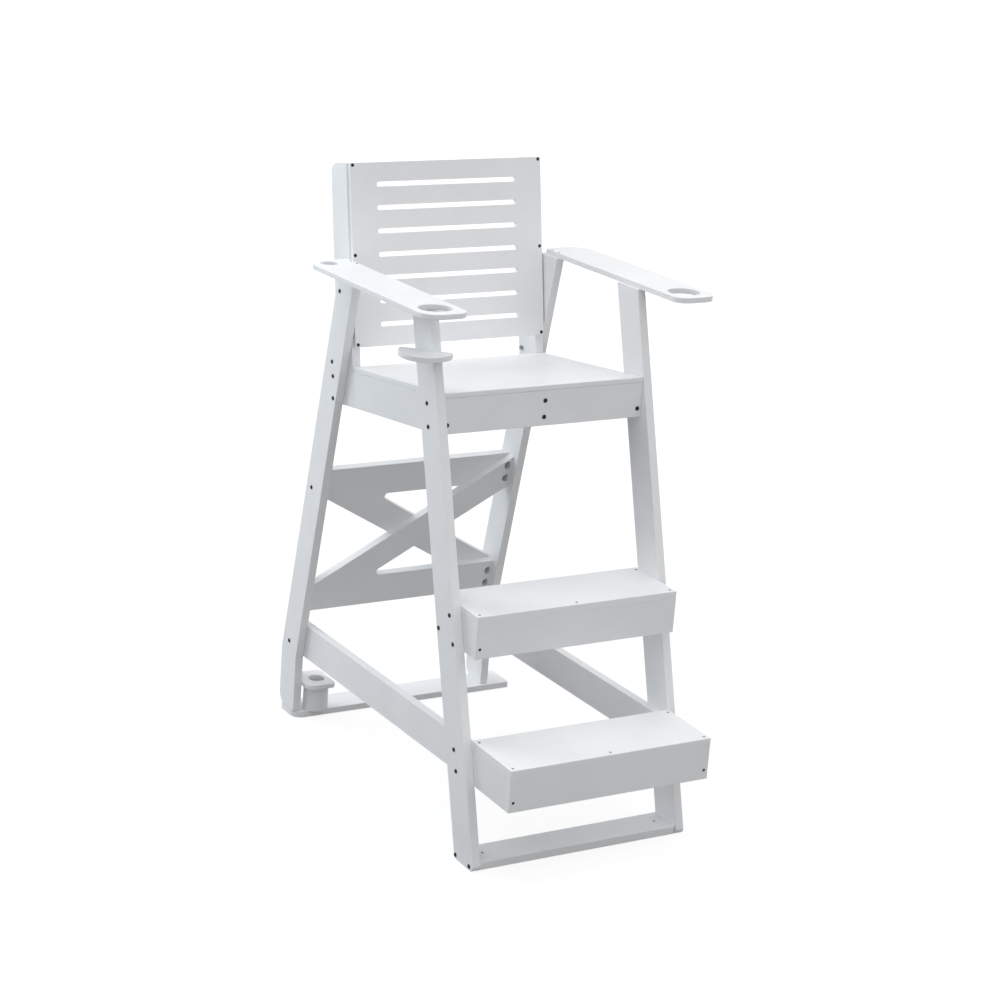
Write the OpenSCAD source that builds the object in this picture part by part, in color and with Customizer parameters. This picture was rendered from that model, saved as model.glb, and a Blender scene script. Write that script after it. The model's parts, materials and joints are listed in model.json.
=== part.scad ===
// Lifeguard stand: a tall outdoor chair of bolted plastic planks with two climbing steps.
// Origin on the floor under the middle of the stand, front towards -Y, left side at -X, Z up.

/* [Frame] */
// Width over the outer faces of the legs
frame_w = 588; // [480:1:760]
// Depth from the lower riser to the heels of the rear feet
frame_d = 1165; // [1080:1:1300]
// How far the toes of the front legs stand behind the lower riser
toe_back = 99; // [70:1:120]
// Thickness of the frame planks
leg_t = 22; // [16:0.5:26]
// Width of the front leg planks
front_leg_w = 88; // [76:1:100]
// Width of the rear leg planks
rear_leg_w = 84; // [76:1:100]
// Lean of the front legs from upright, in degrees
front_lean = 16.8; // [15:0.1:18]
// How far the rear legs' rear edges stand behind the backrest at the seat's height
leg_back = 96.4; // [88:0.1:104]
// Height of the knee where a rear leg turns upright
knee_h = 170; // [120:1:200]
// Radius of the rounded feet
foot_r = 12; // [4:1:20]
// Radius of the heels of the rear feet
heel_r = 32; // [6:1:40]

/* [Seat] */
// Height of the seat's front edge
seat_h = 1067; // [980:1:1150]
// Depth from the seat's front edge to the backrest
seat_d = 465; // [420:1:500]
// Fall of the seat towards the back, in degrees
seat_slope = 7.5; // [5:0.1:9]
// Thickness of the seat and back sheets
sheet_t = 12.7; // [9:0.1:18]
// Width of the planks under the seat
apron_w = 89; // [70:1:100]

/* [Backrest] */
// Height of the backrest sheet along its slope
back_h = 449; // [380:1:520]
// Gap between the seat and the backrest sheet
back_gap = 48; // [20:1:80]
// Recline of the backrest from upright, in degrees
recline = 10.9; // [8:0.1:13]
// Width of the backrest posts
post_w = 82; // [70:1:96]
// How far the sheet's side edges stand inside the posts
back_reveal = 4; // [0:0.5:8]
// Number of slots in the backrest
slot_n = 7; // [3:1:9]
// Distance between the slots
slot_pitch = 57; // [40:1:62]
// Height of a slot
slot_h = 12; // [6:0.5:18]
// Length of a slot
slot_l = 393; // [250:1:420]

/* [Armrests] */
// Height of the armrests' top at the front cup holes
arm_h = 1284; // [1240:1:1340]
// Fall of the armrests towards the back, in degrees
arm_slope = 1.7; // [0:0.1:3]
// Length of an armrest
arm_l = 622; // [560:1:660]
// Width of an armrest
arm_w = 114; // [100:1:140]
// How far an armrest reaches in over its legs
arm_cover = 15.3; // [4:0.1:16]
// How far the armrests reach forward of the seat's front edge
arm_front = 110; // [80:1:140]
// Diameter of the cup holes
cup_d = 78; // [60:1:88]
// Distance from an armrest's front end to its cup hole
cup_in = 68; // [60:1:100]
// Diameter of the umbrella hole
pole_d = 42; // [30:0.5:50]
// Distance from the left armrest's rear end to its umbrella hole
pole_in = 40; // [36:1:70]
// How far the umbrella hole stands out from the armrest's middle
pole_out = 13; // [0:0.5:16]
// Distance from the armrest's underside down to the cup shelf
shelf_drop = 110; // [80:1:130]
// Radius of the cup shelf's round side
shelf_r = 64; // [56:1:72]
// Angle of the cup shelf's straight side, in degrees
shelf_turn = 42; // [35:1:55]
// Distance along the straight side from the leg's corner to the cup shelf's middle
shelf_out = 18; // [8:1:28]
// How far the cup shelf reaches in round the leg's corner
shelf_grip = 10; // [6:1:14]

/* [Steps] */
// Height of the lower tread's top
step_h = 297; // [280:1:320]
// Rise between the two treads
step_rise = 300; // [280:1:320]
// Depth of the lower step
lower_d = 185; // [170:1:220]
// Depth of the upper step
upper_d = 180; // [160:1:190]
// How far the upper riser stands in front of the legs
upper_out = 81; // [60:1:100]
// Thickness of the treads
tread_t = 16; // [12:0.5:22]
// Width of the risers and of the steps' side boards
step_board_w = 88; // [76:1:96]
// Fall of the side rails from the lower step to the rear legs
rail_drop = 24; // [0:1:40]

/* [Floor planks] */
// Thickness of the front floor plank
front_plank_t = 20; // [16:0.5:26]
// Thickness of the rear floor plank
rear_plank_t = 16; // [12:0.5:24]
// Depth of the floor planks
plank_w = 88; // [76:1:92]
// How far the rear floor plank reaches out past the right leg
plank_out = 60; // [0:1:90]

/* [Rear brace] */
// Height of the brace's lower edge along the legs
brace_low = 300; // [270:1:320]
// Height of the whole brace along the legs
brace_h = 404; // [360:1:440]
// Width of the brace's straight bars
bar_w = 85.5; // [70:0.5:90]
// Width of the brace's diagonals
diagonal_w = 73.5; // [60:0.5:80]
// Height of a diagonal's blunt end at the leg
brace_end = 72; // [50:1:84]
// How far the brace is set in from the rear legs' front edges
brace_in = 21; // [10:0.5:24]
// Radius of the brace's inner corners
brace_r = 10; // [4:0.5:16]

/* [Umbrella socket] */
// Outer diameter of the socket
socket_d = 66; // [60:0.5:74]
// Height of the socket plate's top
socket_h = 100; // [70:1:120]
// Thickness of the socket plate
socket_plate_t = 12.7; // [9:0.1:18]
// Width of the socket plate
socket_plate_w = 80; // [76:1:110]
// Depth of the socket plate
socket_plate_d = 105; // [90:1:115]
// How far the socket plate reaches in front of the rear floor plank
socket_out = 32; // [16:1:40]
// Distance from the rear floor plank's front edge to the socket's middle
socket_in = 18; // [10:1:30]
// Distance from the left leg's inner face to the socket's middle
socket_side = 46; // [45:1:50]

/* [Bolts] */
// Diameter of the bolts' shanks
bolt_d = 6; // [5:0.1:8]
// Diameter of the bolts' heads
head_d = 11; // [9:0.1:14]
// Height of the bolts' heads
head_h = 2.5; // [1.5:0.1:4]
// Diameter of the small screws' heads
screw_d = 7; // [5:0.1:9]
// Height of the small screws' heads
screw_h = 1.2; // [0.8:0.1:2]
// Diameter of the small screws' shanks
screw_shank = 3.5; // [2.5:0.1:4.5]
// Length of the small screws in the piece behind
screw_in = 20; // [12:0.5:24]
// Diameter of the armrest screws' heads
arm_screw_d = 5; // [4.6:0.1:8]
// Width of the nuts over their corners
nut_w = 12; // [10:0.1:14]
// Height of the nuts
nut_h = 5.8; // [4:0.1:5.9]
// Clearance round a shank in its hole
hole_gap = 0.25; // [0.1:0.05:0.5]

/* [Hidden] */
$fn = 48;
screw_hole = screw_in + 2;
seat_bolts_h = [apron_w / 4, apron_w * 0.7];
sheet_color = [0.93, 0.94, 0.95];
bolt_color = [0.12, 0.12, 0.13];
cut = 1;

// Planes across the stand
half_w = frame_w / 2;
inner_w = half_w - leg_t;
board_in = inner_w - leg_t;

// Leg lines in side view
y_toe = toe_back - frame_d / 2;
y_heel = frame_d / 2;
front_leg_y = front_leg_w / cos(front_lean);
function front_y(z) = y_toe + z * tan(front_lean);
y_seat = front_y(seat_h);
y_back = y_seat + seat_d;
rear_lean = atan((y_heel - y_back - leg_back) / (seat_h - knee_h));
rear_leg_y = rear_leg_w / cos(rear_lean);
function rear_y(z) = y_heel - max(z - knee_h, 0) * tan(rear_lean);

// Seat line in side view
function seat_top(y) = seat_h - (y - y_seat) * tan(seat_slope);
function seat_under(y) = seat_top(y) - sheet_t / cos(seat_slope);
function apron_under(y) = seat_under(y) - apron_w / cos(seat_slope);
front_board_low = seat_top(y_seat) - sheet_t - apron_w + 2;

// Backrest line in side view
z_back = seat_top(y_back) + back_gap;
function post_y(z) = y_back + sheet_t / cos(recline) + (z - z_back) * tan(recline);
post_depth = post_w / cos(recline);
y_seat_end = post_y(seat_top(y_back)) - 4;
y_rear_board = y_seat_end - 44;

// Armrest line in side view
y_arm = y_seat - arm_front;
y_arm_cup = y_arm + cup_in * cos(arm_slope);
function arm_top(y) = arm_h - (y - y_arm_cup) * tan(arm_slope);
function arm_under(y) = arm_top(y) - sheet_t / cos(arm_slope);
arm_x = half_w - arm_cover + arm_w / 2;

// Steps in side view
y_lower = screw_h - frame_d / 2;
y_upper = front_y(step_h + step_rise) - upper_out;
upper_h = step_h + step_rise;
rail_top = step_h - tread_t;
rail_low = rail_top - step_board_w;
y_bend = front_y(rail_top) + front_leg_y;
y_rail_end = rear_y(rail_low) - 10;

// Floor planks
y_front_plank = y_toe + 11;
y_rear_plank = y_heel - rear_leg_y - 10;

// Umbrella socket
socket_x = socket_side - inner_w;
socket_y = y_rear_plank + socket_in;

// Bolts through two layers of plank, as places in side view
apron_bolts = [for (d = [33, 86])
               [max(front_y(seat_h - d) + front_leg_y * 0.57, y_seat + leg_t + 7), seat_h - d]];
function joint_from(z) = max(post_y(z), rear_y(z) - rear_leg_y);
function joint_to(z) = min(post_y(z) + post_depth, rear_y(z));
post_bolts = [for (p = [[119, 0.38], [-65, 0.78], [-100, 0.66], [-155, 0.54]])
              let (z = seat_h + p[0])
              [joint_from(z) + p[1] * (joint_to(z) - joint_from(z)), z]];
upper_bolts = [[front_y(upper_h - 25) + 20, upper_h - 25],
               [front_y(upper_h - 73) + front_leg_y * 0.88, upper_h - 73],
               [front_y(upper_h - 88) + 14, upper_h - 88]];
lower_bolts = [[front_y(step_h - 36) + 50, step_h - 36], [front_y(step_h - 84) + 48, step_h - 84]];
rail_bolts = [[rear_y(200) - rear_leg_y / 2 + 5, rail_low - rail_drop + 33]];
toe_screws = [[y_front_plank + 10, front_plank_t / 2], [y_front_plank + plank_w - 12, front_plank_t / 2]];
front_leg_holes = concat(apron_bolts, upper_bolts, lower_bolts, toe_screws);
rear_leg_holes = concat(post_bolts, rail_bolts);

// Brace bolts, as places along the rear legs
front_vee_bolts = [brace_low + 19, brace_low + 56, brace_low + brace_h - 63, brace_low + brace_h - 26];
rear_vee_left = [brace_low + brace_h - 51];
rear_vee_right = [brace_low + 47];
pocket_x = inner_w - 12;
pocket_r = 11;
pocket_flat = 6;
diagonal_v = diagonal_w / cos(atan((brace_h - brace_end) / (2 * inner_w)));

function unit(v) = v / norm(v);

// Arc that rounds corner b between a and c with radius r
function corner(a, b, c, r, n = 6) =
    let (u = unit(a - b),
         v = unit(c - b),
         half = acos(u * v) / 2,
         centre = b + unit(u + v) * r / sin(half),
         from = b + u * r / tan(half) - centre,
         to = b + v * r / tan(half) - centre,
         start = atan2(from[1], from[0]),
         sweep = (atan2(to[1], to[0]) - start + 540) % 360 - 180)
    [for (k = [0:n]) centre + r * [cos(start + sweep * k / n), sin(start + sweep * k / n)]];

// Outline through the points p, each rounded by its radius in r
function rounded(p, r, n = 6) =
    [for (i = [0:len(p) - 1])
        each (r[i] > 0
            ? corner(p[(i + len(p) - 1) % len(p)], p[i], p[(i + 1) % len(p)], r[i], n)
            : [p[i]])];

// Plank cut to an outline of [y, z] places, from x to x + t
module side_plank(outline, x, t) {
    translate([x, 0, 0])
        rotate([90, 0, 90])
            linear_extrude(t)
                polygon(outline);
}

// Holes across the stand at [y, z] places, from x to x + t
module side_holes(places, x, t, d = bolt_d + 2 * hole_gap) {
    for (p = places)
        translate([x - cut, p[0], p[1]])
            rotate([0, 90, 0])
                cylinder(d = d, h = t + 2 * cut);
}

// Left x of a plank whose outer face is at distance x on side s
function side_x(s, x, t) = s < 0 ? -x : x - t;

module front_leg_plank(s) {
    outline = rounded(
        [[front_y(0), 0],
         [front_y(0) + front_leg_y, 0],
         [front_y(arm_h) + front_leg_y, arm_h],
         [front_y(arm_h), arm_h]],
        [foot_r, foot_r, 0, 0]);
    side_plank(outline, side_x(s, half_w, leg_t), leg_t);
}

module front_leg(s) {
    color(sheet_color)
        difference() {
            front_leg_plank(s);
            above_armrests();
            side_holes(front_leg_holes, side_x(s, half_w, leg_t), leg_t);
        }
}

// Everything above the underside of the armrests
module above_armrests() {
    y_end = y_arm + arm_l;
    side_plank(
        [[y_arm - 50, arm_under(y_arm - 50)],
         [y_end + 100, arm_under(y_end + 100)],
         [y_end + 100, arm_h + 200],
         [y_arm - 50, arm_h + 200]],
        -half_w - cut, frame_w + 2 * cut);
}

module rear_leg(s) {
    x = side_x(s, half_w, leg_t);
    outline = rounded(
        [[y_heel - rear_leg_y, rear_plank_t],
         [y_heel, rear_plank_t],
         [y_heel, knee_h],
         [rear_y(arm_h), arm_h],
         [rear_y(arm_h) - rear_leg_y, arm_h],
         [y_heel - rear_leg_y, knee_h]],
        [foot_r / 2, heel_r, 60, 0, 0, 60]);
    color(sheet_color)
        difference() {
            side_plank(outline, x, leg_t);
            above_armrests();
            side_holes(rear_leg_holes, x, leg_t);
            vee_bolt_holes(s);
            armrest_screw_places(s)
                translate([0, 0, -sheet_t - screw_hole])
                    cylinder(d = screw_shank + 2 * hole_gap, h = screw_hole + cut);
        }
}

module seat_apron(s) {
    x = side_x(s, inner_w, leg_t);
    y0 = y_seat + leg_t;
    z_top = seat_under(y_seat_end);
    z_low = apron_under(post_y(z_top) - 10);
    outline = [[y0, apron_under(y0)],
               [post_y(z_low), apron_under(post_y(z_low))],
               [post_y(z_top), seat_under(post_y(z_top))],
               [y0, seat_under(y0)]];
    color(sheet_color)
        difference() {
            side_plank(outline, x, leg_t);
            side_holes(apron_bolts, x, leg_t);
            seat_bolt_places([s * (inner_w - leg_t / 2)], [seat_bolts_h[0]])
                cylinder(d = screw_shank + 2 * hole_gap, h = leg_t + screw_hole);
        }
}

module seat_front_board() {
    color(sheet_color)
        difference() {
            side_plank(
                [[y_seat, front_board_low],
                 [y_seat + leg_t, front_board_low],
                 [y_seat + leg_t, seat_under(y_seat + leg_t)],
                 [y_seat, seat_under(y_seat)]],
                -inner_w, 2 * inner_w);
            seat_bolt_places([-1, 1] * (inner_w - leg_t / 2), [seat_bolts_h[0]])
                translate([0, 0, -cut])
                    cylinder(d = bolt_d + 2 * hole_gap, h = leg_t + 2 * cut);
            seat_bolt_places([0], seat_bolts_h)
                translate([0, 0, -cut])
                    cylinder(d = bolt_d + 2 * hole_gap, h = leg_t + 2 * cut);
        }
}

// Children at the front board's bolt places: x across, h above the board's lower edge
module seat_bolt_places(xs, hs) {
    for (x = xs, h = hs)
        translate([x, y_seat, front_board_low + h])
            rotate([-90, 0, 0])
                children();
}

module seat_rear_board() {
    y1 = y_rear_board + leg_t;
    color(sheet_color)
        side_plank(
            [[y_rear_board, apron_under(y_rear_board)],
             [y1, apron_under(y1)],
             [y1, seat_under(y1)],
             [y_rear_board, seat_under(y_rear_board)]],
            -board_in, 2 * board_in);
}

module seat_rib() {
    y0 = y_seat + leg_t;
    color(sheet_color)
        difference() {
            side_plank(
                [[y0, apron_under(y0)],
                 [y_rear_board, apron_under(y_rear_board)],
                 [y_rear_board, seat_under(y_rear_board)],
                 [y0, seat_under(y0)]],
                -leg_t / 2, leg_t);
            seat_bolt_places([0], seat_bolts_h)
                cylinder(d = screw_shank + 2 * hole_gap, h = leg_t + screw_hole);
        }
}

module seat_panel() {
    color(sheet_color)
        side_plank(
            [[y_seat, seat_under(y_seat)],
             [y_seat_end, seat_under(y_seat_end)],
             [y_seat_end, seat_top(y_seat_end)],
             [y_seat, seat_top(y_seat)]],
            -inner_w, 2 * inner_w);
}

// Children in the plane of the backrest's front face: x across, y up the slope, z towards the back
module on_back() {
    translate([0, y_back, z_back])
        rotate([90 - recline, 0, 0])
            mirror([0, 0, 1])
                children();
}

module back_post(s) {
    x = side_x(s, inner_w, leg_t);
    z_low = apron_under(post_y(seat_under(y_back)));
    z_top = z_back + back_h * cos(recline) - sheet_t * sin(recline);
    y_low = post_y(z_low);
    outline = rounded(
        [[y_low, apron_under(y_low)],
         [y_low + post_depth, apron_under(y_low + post_depth)],
         [post_y(z_top) + post_w * cos(recline), z_top - post_w * sin(recline)],
         [post_y(z_top), z_top]],
        [0, 0, 24, 3]);
    color(sheet_color)
        difference() {
            side_plank(outline, x, leg_t);
            side_holes(post_bolts, x, leg_t);
            back_screw_places()
                translate([0, 0, sheet_t - cut])
                    cylinder(d = screw_shank + 2 * hole_gap, h = screw_hole + cut);
        }
}

// Children at the places of the back sheet's screws
module back_screw_places() {
    for (x = [-1, 1] * (inner_w - leg_t / 2), v = [6, back_h / 2, back_h - 6])
        on_back()
            translate([x, v, 0])
                children();
}

module back_panel() {
    half = inner_w - back_reveal;
    slot_end = slot_l / 2 - slot_h / 2;
    color(sheet_color)
        difference() {
            on_back()
                translate([-half, 0, 0])
                    cube([2 * half, back_h, sheet_t]);
            for (k = [0:slot_n - 1])
                on_back()
                    translate([0, back_h / 2 + (k - (slot_n - 1) / 2) * slot_pitch, -cut])
                        slot(slot_end);
            back_screw_places()
                translate([0, 0, -cut])
                    cylinder(d = screw_shank + 2 * hole_gap, h = sheet_t + 2 * cut);
        }
}

// One slot with round ends at x = -e and e
module slot(e) {
    translate([-e, -slot_h / 2, 0])
        cube([2 * e, slot_h, sheet_t + 2 * cut]);
    for (x = [-e, e])
        translate([x, 0, 0])
            cylinder(d = slot_h, h = sheet_t + 2 * cut);
}

// Children in the plane of an armrest's top: x across, y back from its front end, z up
module on_arm() {
    translate([0, y_arm, arm_top(y_arm)])
        rotate([-arm_slope, 0, 0])
            children();
}

module armrest(s) {
    a = arm_w / 2;
    outline = rounded(
        [[-a, 0], [a, 0], [a, arm_l], [-a, arm_l]],
        [42, 32, 14, 50], 10);
    color(sheet_color)
        difference() {
            on_arm()
                translate([s * arm_x, 0, -sheet_t])
                    mirror([s < 0 ? 0 : 1, 0, 0])
                        linear_extrude(sheet_t)
                            polygon(outline);
            on_arm()
                translate([s * arm_x, cup_in, -sheet_t - cut])
                    cylinder(d = cup_d, h = sheet_t + 2 * cut, $fn = 96);
            if (s < 0)
                on_arm()
                    translate([-arm_x - pole_out, arm_l - pole_in, -sheet_t - cut])
                        cylinder(d = pole_d, h = sheet_t + 2 * cut, $fn = 72);
            armrest_screw_places(s)
                translate([0, 0, -sheet_t - cut])
                    cylinder(d = screw_shank + 2 * hole_gap, h = sheet_t + 2 * cut);
        }
}

// Children on an armrest's top over its rear leg
module armrest_screw_places(s) {
    y_leg = (rear_y(arm_h - sheet_t) - rear_leg_y / 2 - y_arm) / cos(arm_slope);
    for (d = [-27, 5])
        on_arm()
            translate([s * (half_w - leg_t / 2 + 2), y_leg + d, 0])
                children();
}

// Half-moon that stands out from the left front leg's corner
module cup_shelf() {
    z = arm_under(y_arm_cup) - shelf_drop - sheet_t;
    color(sheet_color)
        difference() {
            translate([-half_w, front_y(z + sheet_t), z])
                rotate(-shelf_turn)
                    translate([-shelf_out, 0, 0])
                        linear_extrude(sheet_t)
                            intersection() {
                                circle(r = shelf_r, $fn = 96);
                                translate([-shelf_r, -shelf_r])
                                    square([2 * shelf_r, shelf_r + shelf_grip]);
                            }
            front_leg_plank(-1);
        }
}

module side_rail(s) {
    x = side_x(s, inner_w, leg_t);
    outline = rounded(
        [[y_lower + leg_t, rail_low],
         [y_bend, rail_low],
         [y_rail_end, rail_low - rail_drop],
         [y_rail_end, rail_top - rail_drop],
         [y_bend, rail_top],
         [y_lower + leg_t, rail_top]],
        [0, 60, 6, 6, 60, 0]);
    color(sheet_color)
        difference() {
            side_plank(outline, x, leg_t);
            side_holes(concat(lower_bolts, rail_bolts), x, leg_t);
            step_front_places(y_lower, rail_low)
                translate([0, 0, leg_t - cut])
                    cylinder(d = screw_shank + 2 * hole_gap, h = screw_hole + cut);
            step_top_places(y_lower, step_h, lower_d)
                translate([0, 0, -tread_t - screw_hole])
                    cylinder(d = screw_shank + 2 * hole_gap, h = screw_hole + cut);
        }
}

// Children on a riser's front face near its lower corners
module step_front_places(y, z_low, sides = [-1, 1]) {
    for (x = sides * (inner_w - leg_t / 2))
        translate([x, y, z_low + 24])
            rotate([-90, 0, 0])
                children();
}

// Children on a tread's top, at its front corners, front middle and rear corners
module step_top_places(y, z, d) {
    for (p = [[-1, leg_t * 0.6], [0, leg_t * 0.6], [1, leg_t * 0.6], [-1, d - 16], [1, d - 16]])
        translate([p[0] * (inner_w - leg_t / 2), y + p[1], z])
            children();
}

module tread(y, z, d) {
    color(sheet_color)
        difference() {
            translate([-inner_w, y, z - tread_t])
                cube([2 * inner_w, d, tread_t]);
            step_top_places(y, z, d)
                translate([0, 0, -tread_t - cut])
                    cylinder(d = screw_shank + 2 * hole_gap, h = tread_t + 2 * cut);
        }
}

module riser(y, z, d, sides = [-1, 1]) {
    color(sheet_color)
        difference() {
            translate([-inner_w, y, z - tread_t - step_board_w])
                cube([2 * inner_w, leg_t, step_board_w]);
            step_front_places(y, z - tread_t - step_board_w, sides)
                translate([0, 0, -cut])
                    cylinder(d = screw_shank + 2 * hole_gap, h = leg_t + 2 * cut);
            step_top_places(y, z, d)
                translate([0, 0, -tread_t - screw_hole])
                    cylinder(d = screw_shank + 2 * hole_gap, h = screw_hole + cut);
        }
}

// The upper riser's right end is held from the side
module upper_riser() {
    color(sheet_color)
        difference() {
            riser(y_upper, upper_h, upper_d, [-1]);
            riser_end_places()
                translate([0, 0, -screw_hole])
                    cylinder(d = screw_shank + 2 * hole_gap, h = screw_hole + cut);
        }
}

// Children on the right end of the upper riser
module riser_end_places() {
    for (h = [11, 34])
        translate([inner_w, y_upper + leg_t / 2, upper_h - tread_t - step_board_w + h])
            rotate([0, 90, 0])
                children();
}

module upper_side(s) {
    x = side_x(s, inner_w, leg_t);
    color(sheet_color)
        difference() {
            translate([x, y_upper + leg_t, upper_h - tread_t - step_board_w])
                cube([leg_t, upper_d - leg_t, step_board_w]);
            side_holes(upper_bolts, x, leg_t);
            step_front_places(y_upper, upper_h - tread_t - step_board_w, [-1])
                translate([0, 0, leg_t - cut])
                    cylinder(d = screw_shank + 2 * hole_gap, h = screw_hole + cut);
            step_top_places(y_upper, upper_h, upper_d)
                translate([0, 0, -tread_t - screw_hole])
                    cylinder(d = screw_shank + 2 * hole_gap, h = screw_hole + cut);
        }
}

module front_floor_plank() {
    color(sheet_color)
        difference() {
            translate([-inner_w, y_front_plank, 0])
                cube([2 * inner_w, plank_w, front_plank_t]);
            for (x = [-inner_w, inner_w - screw_hole])
                side_holes(toe_screws, x, screw_hole, screw_shank + 2 * hole_gap);
            floor_screw_places()
                translate([0, 0, -front_plank_t + 4])
                    cylinder(d = screw_shank + 2 * hole_gap, h = front_plank_t);
        }
}

// Children on the front floor plank's top near its ends
module floor_screw_places() {
    for (x = [-1, 1] * (inner_w - 32))
        translate([x, y_front_plank + plank_w / 2, front_plank_t])
            children();
}

module rear_floor_plank() {
    outline = rounded(
        [[-half_w, y_rear_plank],
         [half_w + plank_out, y_rear_plank],
         [half_w + plank_out, y_rear_plank + plank_w],
         [-half_w, y_rear_plank + plank_w]],
        [30, 4, 4, 12]);
    color(sheet_color)
        linear_extrude(rear_plank_t)
            polygon(outline);
}

// Children in the plane of the rear legs' front edges: x across, y up the legs, z towards the front
module on_legs() {
    translate([0, y_heel - rear_leg_y + knee_h * tan(rear_lean), 0])
        rotate([90 + rear_lean, 0, 0])
            children();
}

// One vee of the brace: a bar, and a diagonal that rises from the bar's left end
function vee() =
    let (lift = brace_h - diagonal_v,
         slope = (brace_h - brace_end) / (2 * inner_w),
         x_in = inner_w - (brace_h - diagonal_v - bar_w) / slope)
    rounded(
        [[-inner_w, 0],
         [inner_w, 0],
         [inner_w, bar_w],
         [x_in, bar_w],
         [inner_w, lift],
         [inner_w, brace_h],
         [-inner_w, brace_end]],
        [0, 0, 0, brace_r, 0, 0, 0]);

module vee_plate() {
    linear_extrude(leg_t)
        polygon(vee());
}

// Pocket for a nut, with its flat side towards the leg
module nut_pocket() {
    intersection() {
        cylinder(r = pocket_r, h = leg_t + 2 * cut);
        translate([-pocket_r, -pocket_r, 0])
            cube([pocket_r + pocket_flat, 2 * pocket_r, leg_t + 2 * cut]);
    }
}

module brace_front_vee() {
    color(sheet_color)
        on_legs()
            difference() {
                translate([0, brace_low, -brace_in - leg_t])
                    vee_plate();
                for (v = front_vee_bolts) {
                    translate([pocket_x, v, -brace_in - leg_t - cut])
                        nut_pocket();
                    translate([pocket_x, v, -brace_in - leg_t / 2])
                        rotate([0, 90, 0])
                            cylinder(d = bolt_d + 2 * hole_gap, h = 40);
                }
            }
}

module brace_rear_vee() {
    color(sheet_color)
        on_legs()
            difference() {
                translate([0, brace_low + brace_h, -brace_in - 2 * leg_t])
                    mirror([0, 1, 0])
                        vee_plate();
                for (v = rear_vee_right) {
                    translate([pocket_x, v, -brace_in - 2 * leg_t - cut])
                        nut_pocket();
                    translate([pocket_x, v, -brace_in - leg_t * 1.5])
                        rotate([0, 90, 0])
                            cylinder(d = bolt_d + 2 * hole_gap, h = 40);
                }
                for (v = rear_vee_left) {
                    translate([-pocket_x, v, -brace_in - 2 * leg_t - cut])
                        mirror([1, 0, 0])
                            nut_pocket();
                    translate([-pocket_x, v, -brace_in - leg_t * 1.5])
                        rotate([0, -90, 0])
                            cylinder(d = bolt_d + 2 * hole_gap, h = 40);
                }
            }
}

// Holes through a rear leg for the brace's bolts
module vee_bolt_holes(s) {
    if (s > 0)
        for (v = front_vee_bolts)
            vee_hole(s, v, brace_in + leg_t / 2);
    for (v = s < 0 ? rear_vee_left : rear_vee_right)
        vee_hole(s, v, brace_in + leg_t * 1.5);
}

module vee_hole(s, v, depth) {
    on_legs()
        translate([s < 0 ? -half_w - cut : inner_w - cut, v, -depth])
            rotate([0, 90, 0])
                cylinder(d = bolt_d + 2 * hole_gap, h = leg_t + 2 * cut);
}

module socket_plate() {
    y0 = y_rear_plank - socket_out;
    outline = rounded(
        [[-inner_w, y0],
         [-inner_w + socket_plate_w, y0],
         [-inner_w + socket_plate_w, y0 + socket_plate_d],
         [-inner_w, y0 + socket_plate_d]],
        [26, 12, 20, 6]);
    color(sheet_color)
        translate([0, 0, socket_h - socket_plate_t])
            difference() {
                linear_extrude(socket_plate_t)
                    polygon(outline);
                translate([socket_x, socket_y, -cut])
                    cylinder(d = pole_d, h = socket_plate_t + 2 * cut, $fn = 72);
            }
}

module pole_socket() {
    h = socket_h - socket_plate_t - rear_plank_t;
    color(sheet_color)
        translate([socket_x, socket_y, rear_plank_t])
            difference() {
                cylinder(d = socket_d, h = h, $fn = 72);
                translate([0, 0, -cut])
                    cylinder(d = pole_d, h = h + 2 * cut, $fn = 72);
            }
}

// Domed head of diameter d on a face, with a shank of length l behind it
module bolt(d, h, shank, l) {
    rotate_extrude($fn = 24)
        polygon([[0, 0], [d / 2, 0], [d / 2, h * 0.35], [d * 0.36, h * 0.85], [d * 0.22, h], [0, h]]);
    translate([0, 0, -l])
        cylinder(d = shank, h = l, $fn = 24);
}

module back_screws() {
    color(bolt_color)
        back_screw_places()
            mirror([0, 0, 1])
                bolt(screw_d, screw_h, screw_shank, sheet_t + screw_in);
}

module seat_bolts() {
    color(bolt_color) {
        seat_bolt_places([-1, 1] * (inner_w - leg_t / 2), [seat_bolts_h[0]])
            mirror([0, 0, 1])
                bolt(head_d, head_h, screw_shank, leg_t + screw_in);
        seat_bolt_places([0], seat_bolts_h)
            mirror([0, 0, 1])
                bolt(head_d, head_h, screw_shank, leg_t + screw_in);
    }
}

module step_screws() {
    color(bolt_color) {
        for (p = [[y_lower, step_h, lower_d, [-1, 1]], [y_upper, upper_h, upper_d, [-1]]]) {
            step_top_places(p[0], p[1], p[2])
                bolt(screw_d, screw_h, screw_shank, tread_t + screw_in);
            step_front_places(p[0], p[1] - tread_t - step_board_w, p[3])
                mirror([0, 0, 1])
                    bolt(screw_d, screw_h, screw_shank, leg_t + screw_in);
        }
        riser_end_places()
            bolt(head_d, 2 * head_h, screw_shank, screw_in);
    }
}

module floor_screws() {
    color(bolt_color)
        floor_screw_places()
            bolt(screw_d, screw_h, screw_shank, front_plank_t - 5);
}

module armrest_screws() {
    color(bolt_color)
        for (s = [-1, 1])
            armrest_screw_places(s)
                bolt(arm_screw_d, screw_h, screw_shank, sheet_t + screw_in);
}

// Head outside, shank through two planks and a nut on the inner face
module through_bolts(s, places) {
    for (p = places)
        translate([s * half_w, p[0], p[1]])
            rotate([0, s * 90, 0]) {
                bolt(head_d, head_h, bolt_d, 2 * leg_t + nut_h + 2);
                translate([0, 0, -2 * leg_t - nut_h])
                    cylinder(d = nut_w, h = nut_h, $fn = 6);
            }
}

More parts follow.
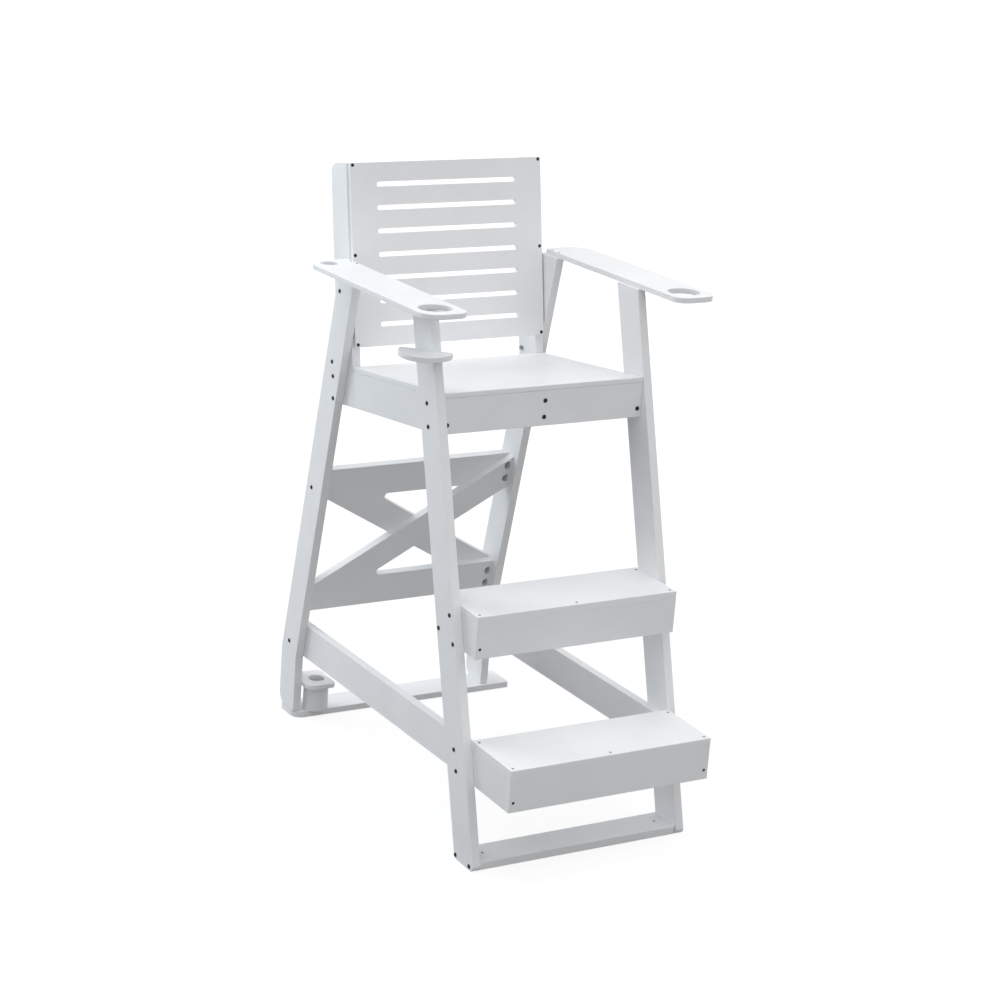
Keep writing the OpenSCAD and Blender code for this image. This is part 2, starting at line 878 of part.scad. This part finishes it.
module leg_bolts(s) {
    color(bolt_color) {
        through_bolts(s, concat(apron_bolts, post_bolts, upper_bolts, lower_bolts, rail_bolts));
        for (p = toe_screws)
            translate([s * half_w, p[0], p[1]])
                rotate([0, s * 90, 0])
                    bolt(head_d, head_h, screw_shank, leg_t + screw_in);
    }
}

// Bolt from the outer face of a rear leg to a nut in the brace's pocket
module vee_bolt(s, v, depth) {
    on_legs()
        translate([s * half_w, v, -depth])
            rotate([0, s * 90, 0]) {
                bolt(head_d, head_h, bolt_d, half_w - pocket_x + 2);
                translate([0, 0, pocket_x + pocket_flat - 0.1 - nut_h - half_w])
                    cylinder(d = nut_w, h = nut_h, $fn = 6);
            }
}

module brace_bolts() {
    color(bolt_color) {
        for (v = front_vee_bolts)
            vee_bolt(1, v, brace_in + leg_t / 2);
        for (v = rear_vee_right)
            vee_bolt(1, v, brace_in + leg_t * 1.5);
        for (v = rear_vee_left)
            vee_bolt(-1, v, brace_in + leg_t * 1.5);
    }
}

front_leg(-1);  // front_leg_left
front_leg(1);  // front_leg_right
rear_leg(-1);  // rear_leg_left
rear_leg(1);  // rear_leg_right
seat_apron(-1);  // seat_apron_left
seat_apron(1);  // seat_apron_right
seat_front_board();
seat_rear_board();
seat_rib();
seat_panel();
back_post(-1);  // back_post_left
back_post(1);  // back_post_right
back_panel();
armrest(-1);  // armrest_left
armrest(1);  // armrest_right
cup_shelf();
side_rail(-1);  // side_rail_left
side_rail(1);  // side_rail_right
tread(y_upper, upper_h, upper_d);  // upper_tread
upper_riser();
upper_side(-1);  // upper_side_left
upper_side(1);  // upper_side_right
tread(y_lower, step_h, lower_d);  // lower_tread
riser(y_lower, step_h, lower_d);  // lower_riser
front_floor_plank();
rear_floor_plank();
brace_front_vee();
brace_rear_vee();
socket_plate();
pole_socket();
back_screws();
seat_bolts();
step_screws();
floor_screws();
armrest_screws();
leg_bolts(-1);  // leg_bolts_left
leg_bolts(1);  // leg_bolts_right
brace_bolts();
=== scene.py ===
import json
from math import cos, pi, radians, sin

import bmesh
import bpy
from mathutils import Matrix, Vector


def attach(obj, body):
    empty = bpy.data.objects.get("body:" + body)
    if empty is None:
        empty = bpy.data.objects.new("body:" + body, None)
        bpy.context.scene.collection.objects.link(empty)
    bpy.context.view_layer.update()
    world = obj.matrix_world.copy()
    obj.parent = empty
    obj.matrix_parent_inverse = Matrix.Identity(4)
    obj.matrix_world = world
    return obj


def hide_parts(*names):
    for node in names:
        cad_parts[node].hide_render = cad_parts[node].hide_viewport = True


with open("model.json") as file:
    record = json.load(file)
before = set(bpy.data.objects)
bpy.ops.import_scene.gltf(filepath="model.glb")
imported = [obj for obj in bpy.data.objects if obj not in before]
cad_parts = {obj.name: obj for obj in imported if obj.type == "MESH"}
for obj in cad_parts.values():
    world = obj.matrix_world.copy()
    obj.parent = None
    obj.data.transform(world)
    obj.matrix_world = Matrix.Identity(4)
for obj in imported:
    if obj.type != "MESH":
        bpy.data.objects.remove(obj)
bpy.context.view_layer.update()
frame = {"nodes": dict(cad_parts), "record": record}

# Camera: its lens, place and direction, and how far it sees
LENS_MM = 92.2
SENSOR_MM = 36.0
CAMERA_AT = Vector((-3.0626, -5.0994, 2.6535))
CAMERA_AZIMUTH = radians(-30.93)
CAMERA_PITCH = radians(17.91)
CAMERA_ROLL = radians(4.28)
CAMERA_REACH = 100.0

# Square lamps: place, side in metres, power in watts and colour. All of them look at one point.
LAMPS = {
    "top_lamp": ((-0.4, -0.4, 12.0), 10.0, 386.0, (0.975, 0.985, 1.0)),
    "left_lamp": ((-2.2, -2.6, 2.9), 2.0, 4.5, (0.80, 0.91, 1.0)),
    "right_lamp": ((2.0, -3.4, 3.6), 2.0, 7.0, (1.0, 0.99, 0.97)),
    "rear_lamp": ((-2.0, 2.2, 1.9), 1.6, 27.0, (0.80, 0.91, 1.0)),
    "back_lamp": ((-2.0, 3.3, 3.0), 2.6, 22.0, (0.96, 0.98, 1.0)),
}
LAMP_AIM = Vector((0.0, 0.0, 0.7))

# Sky: strength and colour of its light on the stand. The camera and reflections see white.
WORLD_LIGHT = 0.745
SKY = (0.970, 0.983, 1.0)
WHITE = (1.0, 1.0, 1.0)

# Floor: half its side, its grey, its glow near the stand and far off, and where that glow rises
FLOOR_HALF = 40.0
FLOOR_GREY = 0.18
FLOOR_GLOW = (0.86, 0.98)
FLOOR_FAR = (1.4, 4.5)

# Plastic planks: colours, and roughness from smoothest to roughest
SHEET_WHITE = (0.88, 0.885, 0.89)
SHEET_SHADE = (0.83, 0.838, 0.845)
EDGE_WHITE = (0.87, 0.875, 0.88)
SHEET_ROUGH = (0.36, 0.50)
EDGE_ROUGH = (0.28, 0.40)
SHEET_IOR = 1.54

# Noises of the planks: scale per metre, detail and roughness
CLOUDS = (4.0, 4.0, 0.6)
EDGE_CLOUDS = (30.0, 3.0, 0.5)
SATIN = (26.0, 5.0, 0.6)
EDGE_SATIN = (40.0, 3.0, 0.5)
GRAIN = (620.0, 3.0, 0.55)
SAW_LINES = (260.0, 2.0, 0.5)
WAVES = (11.0, 1.0, 0.5)

# Bumps: depth in metres and strength
GRAIN_BUMP = (0.00030, 0.40)
SAW_BUMP = (0.00010, 0.25)
WAVE_BUMP = (0.0014, 0.10)
METAL_BUMP = (0.0001, 0.3)

# Where a noise begins and ends to change a colour or a number
CLOUD_SPAN = (0.30, 0.60)
WEAR_SPAN = (0.45, 0.75)
COLOUR_SPAN = (0.35, 0.65)
NUMBER_SPAN = (0.3, 0.7)
WHOLE_SPAN = (0.0, 1.0)
# How squarely a face looks along the plank's direction, from cut edge to broad side
SIDE_SPAN = (0.80, 0.97)

# Edges of the planks: rounding of planks and of steps, and the shortest edge that is rounded
EDGE_ROUND = 0.0016
STEP_ROUND = 0.0008
LEAST_EDGE = 0.0012
# Least angle of a sharp edge, greatest angle within a flat face, and how near two points are one
SHARP = radians(40)
FLAT = radians(1.0)
WELD = 1e-5
# Steps of the rounding, and how strongly the large faces rule its shading
BEVEL_STEPS = 2
FACE_WEIGHT = 50

# Bolts and screws: colours, specular level and roughness
BOLT_BLACK = (0.006, 0.006, 0.0065)
BOLT_WORN = (0.022, 0.022, 0.023)
BOLT_GLOSS = 0.35
BOLT_ROUGH = (0.26, 0.42)
STEEL_DARK = (0.34, 0.34, 0.35)
STEEL_LIGHT = (0.42, 0.42, 0.43)
STEEL_ROUGH = (0.30, 0.48)

# Noises of the metals: scale per metre and detail
BOLT_WEAR = (420.0, 4.0)
BOLT_SATIN = (500.0, 2.0)
STEEL_CLOUDS = (300.0, 3.0)
STEEL_SATIN = (600.0, 2.0)
METAL_GRAIN = (1500.0, 2.0)

# Slopes of the backrest and of the armrests
BACK_TURN = radians(10.9)
ARM_TURN = radians(1.7)

# Fasteners in metres: deepest head, nut's corner radius and height, shank's radius,
# shortest bolt with a nut, and how near a point is to the nut's corners
HEAD_DEEPEST = 0.0061
NUT_R = 0.006
NUT_H = 0.0058
SHANK_R = 0.003
NUTTED_LENGTH = 0.03
CORNER_NEAR = 0.0001
NUTTED = ("leg_bolts_left", "leg_bolts_right", "brace_bolts")
# Least upward part of a direction that looks up, and a rim's least share of the head's radius
LOOKS_UP = 0.9
RIM_SHARE = 0.97

# Place of bare steel in a fastener's list of materials
BARE = 1

# Outlines of the fasteners, each as shares of a radius and of the height
HEAD_OUTLINE = ((0.985, 0.0), (1.0, 0.12), (1.0, 0.30), (0.93, 0.56), (0.78, 0.80), (0.58, 0.95))
SOCKET_SHARE = 0.45
SOCKET_RIM = ((1.16, 1.0), (1.08, 0.97))
SOCKET_SIDE = ((1.0, 0.93), (0.97, 0.25))
NUT_OUTLINE = ((0.90, 0.0), (1.0, 0.10), (1.0, 0.90), (0.90, 1.0))
THREAD_ROOT = 0.86
THREAD_TURNS = 4
THREAD_END = ((THREAD_ROOT, 0.97), (0.70, 1.0))
# Points on a round of a head or nut, and of a thread
ROUND = 36
THREAD_ROUND = 24

# Which way each plank lies: the direction through it, and the stretch of its saw lines
WAYS = {
    "across": ((1.0, 0.0, 0.0), (1.0, 0.05, 0.05)),
    "upright": ((0.0, 1.0, 0.0), (0.05, 1.0, 0.05)),
    "level": ((0.0, 0.0, 1.0), (0.05, 0.05, 1.0)),
}
# Planks that lie level and planks that stand across the stand. The others run along its sides.
LEVEL = ("seat_panel", "armrest_left", "armrest_right", "cup_shelf", "upper_tread", "lower_tread",
         "front_floor_plank", "rear_floor_plank", "socket_plate", "pole_socket")
UPRIGHT = ("seat_front_board", "seat_rear_board", "back_panel", "upper_riser", "lower_riser",
           "brace_front_vee", "brace_rear_vee")
# Planks of the steps, which have sharper edges
STEPS = ("upper_tread", "upper_riser", "lower_tread", "lower_riser")


def new_object(name, data):
    """An object of the scene with this data."""
    o = bpy.data.objects.new(name, data)
    bpy.context.scene.collection.objects.link(o)
    return o


# Nodes of materials

def empty_material(name):
    """A node material with nothing but its output."""
    m = bpy.data.materials.new(name)
    m.use_nodes = True
    m.node_tree.nodes.clear()
    return m, m.node_tree, m.node_tree.nodes.new("ShaderNodeOutputMaterial")


def shaded_material(name):
    """A node material with a Principled shader."""
    m, nt, out = empty_material(name)
    shader = nt.nodes.new("ShaderNodeBsdfPrincipled")
    nt.links.new(shader.outputs["BSDF"], out.inputs["Surface"])
    return m, nt, shader


def noise(nt, scale, detail, rough=0.5, stretch=(1.0, 1.0, 1.0)):
    """Noise in the object's own metres, stretched along each axis."""
    coord = nt.nodes.new("ShaderNodeTexCoord")
    mapping = nt.nodes.new("ShaderNodeMapping")
    mapping.inputs["Scale"].default_value = stretch
    tex = nt.nodes.new("ShaderNodeTexNoise")
    tex.inputs["Scale"].default_value = scale
    tex.inputs["Detail"].default_value = detail
    tex.inputs["Roughness"].default_value = rough
    nt.links.new(coord.outputs["Object"], mapping.inputs["Vector"])
    nt.links.new(mapping.outputs["Vector"], tex.inputs["Vector"])
    return tex.outputs["Fac"]


def ramp(nt, fac, low, high, span=COLOUR_SPAN):
    """A colour from low to high as fac goes through the span."""
    node = nt.nodes.new("ShaderNodeValToRGB")
    first, last = node.color_ramp.elements
    first.position, last.position = span
    first.color = (*low, 1.0)
    last.color = (*high, 1.0)
    nt.links.new(fac, node.inputs["Fac"])
    return node.outputs["Color"]


def spread(nt, fac, low, high, span=NUMBER_SPAN):
    """A number from low to high as fac goes through the span."""
    node = nt.nodes.new("ShaderNodeMapRange")
    node.inputs["From Min"].default_value, node.inputs["From Max"].default_value = span
    node.inputs["To Min"].default_value = low
    node.inputs["To Max"].default_value = high
    nt.links.new(fac, node.inputs["Value"])
    return node.outputs["Result"]


def math_node(nt, operation, *values):
    """A sum on other nodes' outputs."""
    node = nt.nodes.new("ShaderNodeMath")
    node.operation = operation
    for socket, value in zip(node.inputs, values):
        nt.links.new(value, socket)
    return node.outputs[0]


def mix(nt, fac, a, b, kind="RGBA"):
    """a where fac is 0 and b where it is 1, as colours or, with kind FLOAT, as numbers."""
    node = nt.nodes.new("ShaderNodeMix")
    node.data_type = kind
    nt.links.new(fac, node.inputs["Factor"])
    inputs = [s for s in node.inputs if s.name in "AB" and s.enabled]
    nt.links.new(a, inputs[0])
    nt.links.new(b, inputs[1])
    return [s for s in node.outputs if s.enabled][0]


def bump(nt, height, distance, strength, below=None):
    """A bumped normal, on top of the one below if there is one."""
    node = nt.nodes.new("ShaderNodeBump")
    node.inputs["Distance"].default_value = distance
    node.inputs["Strength"].default_value = strength
    nt.links.new(height, node.inputs["Height"])
    if below:
        nt.links.new(below, node.inputs["Normal"])
    return node.outputs["Normal"]


def seen_ray(nt):
    """1 for what the camera, reflections and glass see, and 0 for the light that falls on things."""
    path = nt.nodes.new("ShaderNodeLightPath")
    seen = math_node(nt, "MAXIMUM", path.outputs["Is Camera Ray"], path.outputs["Is Glossy Ray"])
    return math_node(nt, "MAXIMUM", seen, path.outputs["Is Transmission Ray"])


def flat_side(nt, axis):
    """1 on the plank's two broad sides, which look along axis, and 0 on its cut edges."""
    coord = nt.nodes.new("ShaderNodeTexCoord")
    dot = nt.nodes.new("ShaderNodeVectorMath")
    dot.operation = "DOT_PRODUCT"
    dot.inputs[1].default_value = axis
    nt.links.new(coord.outputs["Normal"], dot.inputs[0])
    along_axis = math_node(nt, "ABSOLUTE", dot.outputs["Value"])
    return spread(nt, along_axis, 0.0, 1.0, SIDE_SPAN)


# Materials

def sheet_material(name, axis, run):
    """White plastic plank: satin broad sides with a pressed grain, smoother cut edges with fine saw lines.

    axis is the direction through the plank and run the stretch of its saw lines.
    """
    m, nt, shader = shaded_material(name)
    side = flat_side(nt, axis)
    broad = ramp(nt, noise(nt, *CLOUDS), SHEET_SHADE, SHEET_WHITE, CLOUD_SPAN)
    edge = ramp(nt, noise(nt, *EDGE_CLOUDS, run), SHEET_WHITE, EDGE_WHITE)
    nt.links.new(mix(nt, side, edge, broad), shader.inputs["Base Color"])
    broad_rough = spread(nt, noise(nt, *SATIN), *SHEET_ROUGH)
    edge_rough = spread(nt, noise(nt, *EDGE_SATIN, run), *EDGE_ROUGH)
    nt.links.new(mix(nt, side, edge_rough, broad_rough, "FLOAT"), shader.inputs["Roughness"])
    shader.inputs["IOR"].default_value = SHEET_IOR
    normal = bump(nt, math_node(nt, "MULTIPLY", noise(nt, *GRAIN), side), *GRAIN_BUMP)
    normal = bump(nt, noise(nt, *SAW_LINES, run), *SAW_BUMP, normal)
    normal = bump(nt, noise(nt, *WAVES), *WAVE_BUMP, normal)
    nt.links.new(normal, shader.inputs["Normal"])
    return m


def bolt_material():
    """Black coated steel, worn a little lighter in places."""
    m, nt, shader = shaded_material("black_steel")
    wear = ramp(nt, noise(nt, *BOLT_WEAR), BOLT_BLACK, BOLT_WORN, WEAR_SPAN)
    nt.links.new(wear, shader.inputs["Base Color"])
    nt.links.new(spread(nt, noise(nt, *BOLT_SATIN), *BOLT_ROUGH), shader.inputs["Roughness"])
    nt.links.new(bump(nt, noise(nt, *METAL_GRAIN), *METAL_BUMP), shader.inputs["Normal"])
    shader.inputs["Specular IOR Level"].default_value = BOLT_GLOSS
    return m


def steel_material():
    """Dull stainless steel."""
    m, nt, shader = shaded_material("dull_steel")
    clouds = ramp(nt, noise(nt, *STEEL_CLOUDS), STEEL_DARK, STEEL_LIGHT)
    nt.links.new(clouds, shader.inputs["Base Color"])
    nt.links.new(spread(nt, noise(nt, *STEEL_SATIN), *STEEL_ROUGH), shader.inputs["Roughness"])
    nt.links.new(bump(nt, noise(nt, *METAL_GRAIN), *METAL_BUMP), shader.inputs["Normal"])
    shader.inputs["Metallic"].default_value = 1.0
    return m


# Rounded edges of the planks

def node_group(name):
    """An empty geometry node group from its input mesh to its output mesh."""
    ng = bpy.data.node_groups.new(name, "GeometryNodeTree")
    ng.interface.new_socket("Geometry", in_out="INPUT", socket_type="NodeSocketGeometry")
    ng.interface.new_socket("Geometry", in_out="OUTPUT", socket_type="NodeSocketGeometry")
    return ng, ng.nodes.new("NodeGroupInput"), ng.nodes.new("NodeGroupOutput")


def above(ng, value, limit):
    """Whether value is greater than limit."""
    node = ng.nodes.new("FunctionNodeCompare")
    node.data_type = "FLOAT"
    node.operation = "GREATER_THAN"
    ng.links.new(value, node.inputs[0])
    node.inputs[1].default_value = limit
    return node.outputs[0]


def edge_pick_group():
    """Weights for the bevel: 1 on sharp edges, but 0 round the small holes."""
    ng, start, end = node_group("edge_pick")
    angle = ng.nodes.new("GeometryNodeInputMeshEdgeAngle")
    ends = ng.nodes.new("GeometryNodeInputMeshEdgeVertices")
    length = ng.nodes.new("ShaderNodeVectorMath")
    length.operation = "DISTANCE"
    ng.links.new(ends.outputs["Position 1"], length.inputs[0])
    ng.links.new(ends.outputs["Position 2"], length.inputs[1])
    both = ng.nodes.new("FunctionNodeBooleanMath")
    both.operation = "AND"
    ng.links.new(above(ng, angle.outputs["Unsigned Angle"], SHARP), both.inputs[0])
    ng.links.new(above(ng, length.outputs["Value"], LEAST_EDGE), both.inputs[1])
    store = ng.nodes.new("GeometryNodeStoreNamedAttribute")
    store.data_type = "FLOAT"
    store.domain = "EDGE"
    store.inputs["Name"].default_value = "bevel_weight_edge"
    ng.links.new(start.outputs[0], store.inputs["Geometry"])
    ng.links.new(both.outputs[0], store.inputs["Value"])
    ng.links.new(store.outputs[0], end.inputs[0])
    return ng


def smooth_group():
    """Smooth shading that stays sharp at the edges which weren't rounded."""
    ng, start, end = node_group("smooth_shade")
    faces = ng.nodes.new("GeometryNodeSetShadeSmooth")
    faces.domain = "FACE"
    edges = ng.nodes.new("GeometryNodeSetShadeSmooth")
    edges.domain = "EDGE"
    edges.inputs["Shade Smooth"].default_value = False
    angle = ng.nodes.new("GeometryNodeInputMeshEdgeAngle")
    ng.links.new(above(ng, angle.outputs["Unsigned Angle"], SHARP), edges.inputs["Selection"])
    ng.links.new(start.outputs[0], faces.inputs["Geometry"])
    ng.links.new(faces.outputs[0], edges.inputs["Geometry"])
    ng.links.new(edges.outputs[0], end.inputs[0])
    return ng


def soften(o, width):
    """Small rounded edges, as the planks have."""
    weld = o.modifiers.new("weld", "WELD")
    weld.merge_threshold = WELD
    flat = o.modifiers.new("flat", "DECIMATE")
    flat.decimate_type = "DISSOLVE"
    flat.angle_limit = FLAT
    pick = o.modifiers.new("edge_pick", "NODES")
    pick.node_group = edge_pick
    bevel = o.modifiers.new("edges", "BEVEL")
    bevel.width = width
    bevel.segments = BEVEL_STEPS
    bevel.limit_method = "WEIGHT"
    smooth = o.modifiers.new("smooth", "NODES")
    smooth.node_group = smooth_shade
    normals = o.modifiers.new("normals", "WEIGHTED_NORMAL")
    normals.weight = FACE_WEIGHT
    normals.keep_sharp = True


def plank(name):
    """A CAD plank with its material and rounded edges."""
    o = frame["nodes"][name]
    way = "level" if name in LEVEL else "upright" if name in UPRIGHT else "across"
    o.data.materials.clear()
    o.data.materials.append(sheets[way])
    soften(o, STEP_ROUND if name in STEPS else EDGE_ROUND)


# Fasteners

def islands(o):
    """The separate solids of a node's mesh, each as a list of its points."""
    bm = bmesh.new()
    bm.from_mesh(o.data)
    bmesh.ops.remove_doubles(bm, verts=bm.verts, dist=WELD)
    left = set(bm.verts)
    parts = []
    for seed in bm.verts:
        if seed not in left:
            continue
        left.remove(seed)
        part, edge = [seed.co.copy()], [seed]
        while edge:
            for e in edge.pop().link_edges:
                for v in e.verts:
                    if v in left:
                        left.remove(v)
                        part.append(v.co.copy())
                        edge.append(v)
        parts.append(part)
    bm.free()
    return parts


def spans(points):
    """Lowest and highest corner of the points."""
    return [Vector([pick(p[i] for p in points) for i in range(3)]) for pick in (min, max)]


def along(points, axis):
    """Centre line's foot, and the lowest and highest place along axis."""
    low, high = spans(points)
    mid = (low + high) / 2
    reach = [p.dot(axis) for p in points]
    return mid - axis * mid.dot(axis), min(reach), max(reach)


def off_line(p, axis, foot):
    """How far a point is from the centre line."""
    return ((p - axis * p.dot(axis)) - foot).length


def fastener_way(name, points):
    """The direction from a fastener's shank out to its head."""
    if name == "back_screws":
        return Vector((0.0, -cos(BACK_TURN), sin(BACK_TURN)))
    if name == "armrest_screws":
        return Vector((0.0, sin(ARM_TURN), cos(ARM_TURN)))
    low, high = spans(points)
    size = list(high - low)
    longest = size.index(max(size))
    if longest == 2:
        return Vector((0.0, 0.0, 1.0))
    if longest == 1:
        return Vector((0.0, -1.0, 0.0))
    return Vector((1.0 if low[0] + high[0] > 0 else -1.0, 0.0, 0.0))


def head_size(points, axis, foot, top):
    """Radius of the head and its height over the face it stands on."""
    near = [(top - p.dot(axis), off_line(p, axis, foot)) for p in points]
    near = [(depth, radius) for depth, radius in near if depth < HEAD_DEEPEST]
    r = max(radius for depth, radius in near)
    return r, max(depth for depth, radius in near if radius > r * RIM_SHARE)


def nut_place(points, axis, foot):
    """Where the nut's far side lies along axis, or None where the bolt has no nut."""
    corners = [p.dot(axis) for p in points if abs(off_line(p, axis, foot) - NUT_R) < CORNER_NEAR]
    return min(corners) if corners else None


def lap(count, z, r, hexagon=None):
    """A level ring of points: a circle of radius r, or a hexagon cut off at that radius."""
    points = []
    for k in range(count):
        t = 2 * pi * k / count
        q = r
        if hexagon is not None:
            q = min(r, hexagon * cos(pi / 6) / cos(t % (pi / 3) - pi / 6))
        points.append((q * cos(t), q * sin(t), z))
    return points


def head_laps(r, h):
    """Domed head with a six-sided socket, standing on z = 0."""
    socket = r * SOCKET_SHARE
    laps = [lap(ROUND, h * v, r * u) for u, v in HEAD_OUTLINE]
    laps += [lap(ROUND, h * v, socket * u) for u, v in SOCKET_RIM]
    return laps + [lap(ROUND, h * v, socket * u, socket * u) for u, v in SOCKET_SIDE]


def nut_laps():
    """Six-sided nut with chamfered corners, standing on z = 0."""
    return [lap(ROUND, NUT_H * v, NUT_R * u, NUT_R) for u, v in NUT_OUTLINE]


def thread_laps(length):
    """End of a bolt with its thread as rings, standing on z = 0."""
    outline = [(u, (k + v) / THREAD_TURNS)
               for k in range(THREAD_TURNS) for u, v in ((THREAD_ROOT, 0.0), (1.0, 0.5))]
    return [lap(THREAD_ROUND, length * v, SHANK_R * u) for u, v in (*outline, *THREAD_END)]


def add_solid(bm, laps, at, axis):
    """A closed solid through rings of points, moved to stand at a point and along axis."""
    first = len(bm.verts)
    rings = [[bm.verts.new(p) for p in points] for points in laps]
    for a, b in zip(rings, rings[1:]):
        for k in range(len(a)):
            n = (k + 1) % len(a)
            bm.faces.new((a[k], a[n], b[n], b[k]))
    bm.faces.new(rings[-1])
    bm.faces.new(list(reversed(rings[0])))
    bm.verts.ensure_lookup_table()
    place = Matrix.Translation(at) @ axis.to_track_quat("Z", "X").to_matrix().to_4x4()
    bmesh.ops.transform(bm, matrix=place, verts=bm.verts[first:])


def fasteners(name):
    """Heads with sockets, nuts and thread ends in the places of a node's bolts or screws.

    Heads are black, but nuts, thread ends and the heads that look up are bare steel.
    """
    bm = bmesh.new()
    for points in islands(frame["nodes"][name]):
        axis = fastener_way(name, points)
        foot, low, top = along(points, axis)
        r, h = head_size(points, axis, foot, top)
        first = len(bm.faces)
        add_solid(bm, head_laps(r, h), foot + axis * (top - h), axis)
        bare = first if axis.z > LOOKS_UP else len(bm.faces)
        near = nut_place(points, axis, foot)
        if name in NUTTED and top - low > NUTTED_LENGTH and near is not None:
            add_solid(bm, nut_laps(), foot + axis * (near + NUT_H), -axis)
            add_solid(bm, thread_laps(near - low), foot + axis * near, -axis)
        bm.faces.ensure_lookup_table()
        for face in bm.faces[bare:]:
            face.material_index = BARE
    mesh = bpy.data.meshes.new(name + "_detail")
    bmesh.ops.recalc_face_normals(bm, faces=bm.faces)
    bm.to_mesh(mesh)
    bm.free()
    mesh.shade_smooth()
    mesh.materials.append(black)
    mesh.materials.append(steel)
    piece = new_object(name + "_detail", mesh)
    smooth = piece.modifiers.new("smooth", "NODES")
    smooth.node_group = smooth_shade
    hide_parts(name)
    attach(piece, "root")


edge_pick = edge_pick_group()
smooth_shade = smooth_group()
sheets = {way: sheet_material("white_sheet_" + way, *directions) for way, directions in WAYS.items()}
black = bolt_material()
steel = steel_material()
slots = {row["node"]: row["material_slot"] for row in frame["record"]["subparts"]}
for name in frame["nodes"]:
    if slots[name] == "bolt":
        fasteners(name)
    else:
        plank(name)


# Floor, lamps, sky and camera

def add_floor():
    """Plain floor that keeps the shadow and glows to white, so that it joins the sky."""
    s = FLOOR_HALF
    mesh = bpy.data.meshes.new("floor")
    mesh.from_pydata([(-s, -s, 0), (s, -s, 0), (s, s, 0), (-s, s, 0)], [], [(0, 1, 2, 3)])
    m, nt, out = empty_material("floor")
    diffuse = nt.nodes.new("ShaderNodeBsdfDiffuse")
    diffuse.inputs["Color"].default_value = (FLOOR_GREY, FLOOR_GREY, FLOOR_GREY, 1.0)
    coord = nt.nodes.new("ShaderNodeTexCoord")
    away = nt.nodes.new("ShaderNodeVectorMath")
    away.operation = "LENGTH"
    nt.links.new(coord.outputs["Object"], away.inputs[0])
    level = spread(nt, away.outputs["Value"], *FLOOR_GLOW, FLOOR_FAR)
    glow = nt.nodes.new("ShaderNodeEmission")
    nt.links.new(math_node(nt, "MULTIPLY", seen_ray(nt), level), glow.inputs["Strength"])
    both = nt.nodes.new("ShaderNodeAddShader")
    nt.links.new(diffuse.outputs[0], both.inputs[0])
    nt.links.new(glow.outputs[0], both.inputs[1])
    nt.links.new(both.outputs[0], out.inputs["Surface"])
    mesh.materials.append(m)
    new_object("floor", mesh)


def add_lamp(name, at, side, power, colour):
    """A square lamp that looks at the stand."""
    light = bpy.data.lights.new(name, "AREA")
    light.size = side
    light.energy = power
    light.color = colour
    o = new_object(name, light)
    o.location = at
    o.rotation_euler = (LAMP_AIM - Vector(at)).to_track_quat("-Z", "Y").to_euler()


def add_world():
    """Soft light from all round. The camera and reflections see it as white."""
    world = bpy.data.worlds.new("world")
    bpy.context.scene.world = world
    world.use_nodes = True
    nt = world.node_tree
    nt.nodes.clear()
    out = nt.nodes.new("ShaderNodeOutputWorld")
    back = nt.nodes.new("ShaderNodeBackground")
    seen = seen_ray(nt)
    nt.links.new(ramp(nt, seen, SKY, WHITE, WHOLE_SPAN), back.inputs["Color"])
    nt.links.new(spread(nt, seen, WORLD_LIGHT, 1.0, WHOLE_SPAN), back.inputs["Strength"])
    nt.links.new(back.outputs[0], out.inputs["Surface"])


def add_camera():
    """The photograph's camera."""
    az, ph, ro = CAMERA_AZIMUTH, CAMERA_PITCH, CAMERA_ROLL
    level = Vector((cos(az), sin(az), 0))
    ahead = Vector((-sin(az) * cos(ph), cos(az) * cos(ph), -sin(ph)))
    over = level.cross(ahead)
    right = level * cos(ro) + over * sin(ro)
    up = over * cos(ro) - level * sin(ro)
    data = bpy.data.cameras.new("camera")
    data.sensor_fit = "HORIZONTAL"
    data.sensor_width = SENSOR_MM
    data.lens = LENS_MM
    data.clip_end = CAMERA_REACH
    o = new_object("camera", data)
    o.matrix_world = Matrix.Translation(CAMERA_AT) @ Matrix((right, up, -ahead)).transposed().to_4x4()
    bpy.context.scene.camera = o


add_floor()
for name, lamp in LAMPS.items():
    add_lamp(name, *lamp)
add_world()
add_camera()
bpy.context.scene.view_settings.view_transform = "Standard"
